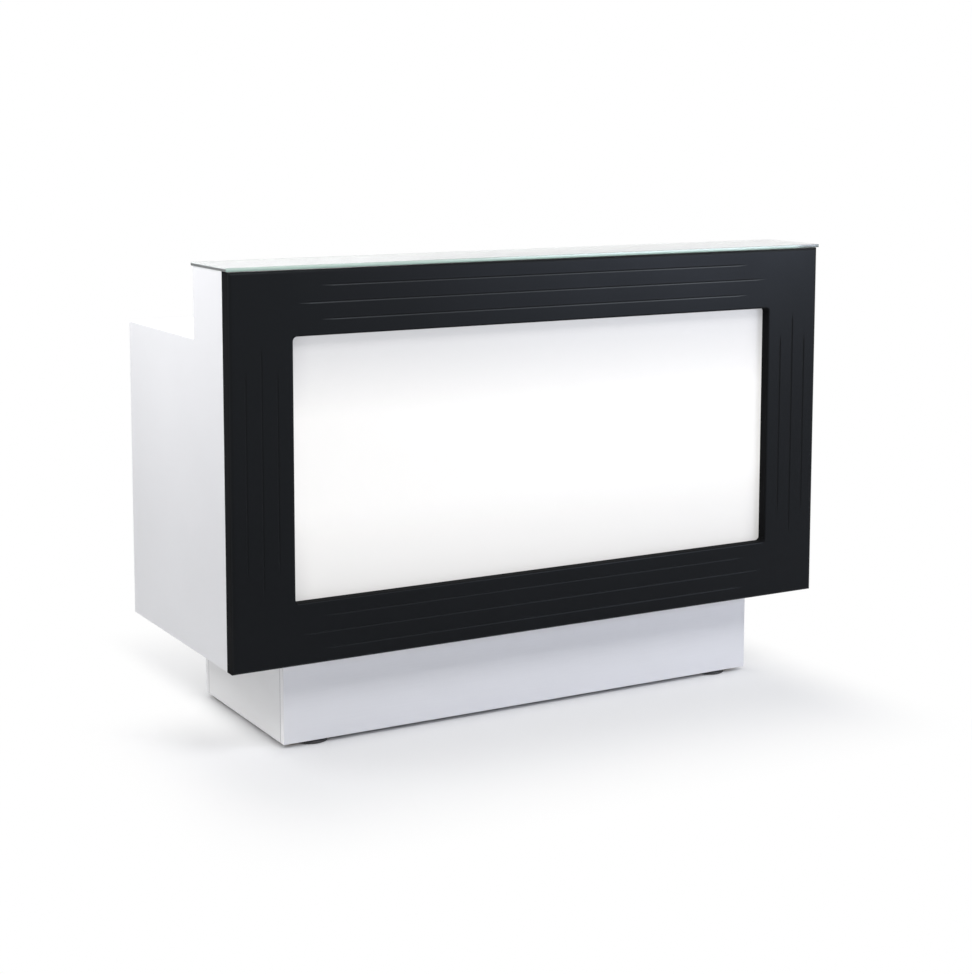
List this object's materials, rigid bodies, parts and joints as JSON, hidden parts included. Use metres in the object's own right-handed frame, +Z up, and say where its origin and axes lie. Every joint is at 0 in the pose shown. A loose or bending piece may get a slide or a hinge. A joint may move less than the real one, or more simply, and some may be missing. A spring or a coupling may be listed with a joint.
{
  "type": "reception desk",
  "caption": "Stand-up reception counter with a grooved black front frame round a lit opal window, white stepped sides, glass top, plinth, and drawers, cupboard and shelves behind.",
  "frame": {"origin": "on the floor, under the middle of the desk's box", "axes": "+X along the counter, +Y from the visitor's side to the staff's side, +Z up"},
  "size_m": [1.61, 0.635, 1.107],
  "materials": {
    "white_board": "white melamine board, satin",
    "plinth_laminate": "pale silver-white laminate, satin",
    "black_lacquer": "black satin lacquer over routed board",
    "opal_acrylic": "opal white sheet, lit from behind",
    "clear_glass": "clear float glass with polished green edges",
    "clear_pad": "clear soft pads",
    "aluminium_strip": "mill finish",
    "white_enamel": "white stove enamel",
    "lamp_glow": "frosted lamp tube",
    "lead_sheath": "pale cable sheath",
    "black_plastic": "moulded black plastic",
    "zinc_steel": "bright zinc plate",
    "satin_nickel": "satin nickel",
    "birch_ply": "lacquered birch plywood",
    "beech": "plain beech",
    "pine": "planed pine"
  },
  "bodies": {
    "desk": {"side_panel_left": "white_board", "side_panel_right": "white_board", "bottom_board": "white_board", "counter_board": "white_board", "light_box_back": "white_board", "worktop": "white_board", "divider_left": "white_board", "divider_right": "white_board", "niche_shelf": "white_board", "bay_shelf": "white_board", "cupboard_shelf": "white_board", "plinth_front": "plinth_laminate", "plinth_rear": "plinth_laminate", "plinth_left": "plinth_laminate", "plinth_right": "plinth_laminate", "front_frame": "black_lacquer", "opal_panel": "opal_acrylic", "glass_top": "clear_glass", "glass_pads": "clear_pad", "diffuser_rails": "aluminium_strip", "lamp_battens": "white_enamel", "lamp_driver": "white_enamel", "lamp_tubes": "lamp_glow", "lamp_wiring": "lead_sheath", "power_inlet": "black_plastic", "cable_grommet": "black_plastic", "door_catch": "black_plastic", "angle_brackets": "zinc_steel", "wood_screws": "zinc_steel", "cam_fittings": "zinc_steel", "shelf_pins": "zinc_steel", "foot_inserts": "zinc_steel", "drawer_rails": "zinc_steel", "lock_strike": "zinc_steel", "door_hinge_plates": "satin_nickel", "dowels": "beech", "plinth_blocks": "pine"},
    "upper_drawer": {"upper_drawer_front": "white_board", "upper_drawer_box": "birch_ply", "upper_drawer_pull": "satin_nickel", "upper_runner_inner": "zinc_steel", "lock_barrel": "satin_nickel"},
    "upper_runner": {"upper_runner_middle": "zinc_steel"},
    "lower_drawer": {"lower_drawer_front": "white_board", "lower_drawer_box": "birch_ply", "lower_drawer_pull": "satin_nickel", "lower_runner_inner": "zinc_steel"},
    "lower_runner": {"lower_runner_middle": "zinc_steel"},
    "drawer_lock": {"lock_plug": "satin_nickel"},
    "cupboard_door": {"door": "white_board", "door_pull": "satin_nickel", "door_hinge_leaves": "satin_nickel", "catch_plate": "zinc_steel"},
    "light_switch": {"switch_rocker": "black_plastic"},
    "cable_cap": {"grommet_cap": "black_plastic"},
    "levelling_front_left": {"foot_front_left": "black_plastic"},
    "levelling_front_right": {"foot_front_right": "black_plastic"},
    "levelling_rear_left": {"foot_rear_left": "black_plastic"},
    "levelling_rear_right": {"foot_rear_right": "black_plastic"}
  },
  "joints": [
    {"name": "upper_drawer_slide", "type": "slide", "parent": "desk", "child": "upper_drawer", "axis": [0, 1, 0], "range_m": [0, 0.33]},
    {"name": "upper_runner_slide", "type": "slide", "parent": "desk", "child": "upper_runner", "axis": [0, 1, 0], "range_m": [0, 0.165]},
    {"name": "lower_drawer_slide", "type": "slide", "parent": "desk", "child": "lower_drawer", "axis": [0, 1, 0], "range_m": [0, 0.33]},
    {"name": "lower_runner_slide", "type": "slide", "parent": "desk", "child": "lower_runner", "axis": [0, 1, 0], "range_m": [0, 0.165]},
    {"name": "drawer_lock_turn", "type": "hinge", "parent": "upper_drawer", "child": "drawer_lock", "pos_m": [0.521, 0.2775, 0.878], "axis": [0, 1, 0], "range_deg": [0, 90]},
    {"name": "cupboard_door_swing", "type": "hinge", "parent": "desk", "child": "cupboard_door", "pos_m": [-0.7707, 0.2818, 0.57], "axis": [0, 0, 1], "range_deg": [0, 95]},
    {"name": "light_switch_rock", "type": "hinge", "parent": "desk", "child": "light_switch", "pos_m": [0.12, -0.1105, 0.345], "axis": [-1, 0, 0], "range_deg": [0, 16]},
    {"name": "cable_cap_turn", "type": "hinge", "parent": "desk", "child": "cable_cap", "pos_m": [0, -0.041, 0.934], "axis": [0, 0, 1], "continuous": true},
    {"name": "levelling_front_left_screw", "type": "slide", "parent": "desk", "child": "levelling_front_left", "axis": [0, 0, -1], "range_m": [0, 0.012]},
    {"name": "levelling_front_right_screw", "type": "slide", "parent": "desk", "child": "levelling_front_right", "axis": [0, 0, -1], "range_m": [0, 0.012]},
    {"name": "levelling_rear_left_screw", "type": "slide", "parent": "desk", "child": "levelling_rear_left", "axis": [0, 0, -1], "range_m": [0, 0.012]},
    {"name": "levelling_rear_right_screw", "type": "slide", "parent": "desk", "child": "levelling_rear_right", "axis": [0, 0, -1], "range_m": [0, 0.012]}
  ],
  "couplings": [
    {"joint": "upper_runner_slide", "follows": "upper_drawer_slide", "ratio": 0.5},
    {"joint": "lower_runner_slide", "follows": "lower_drawer_slide", "ratio": 0.5}
  ]
}
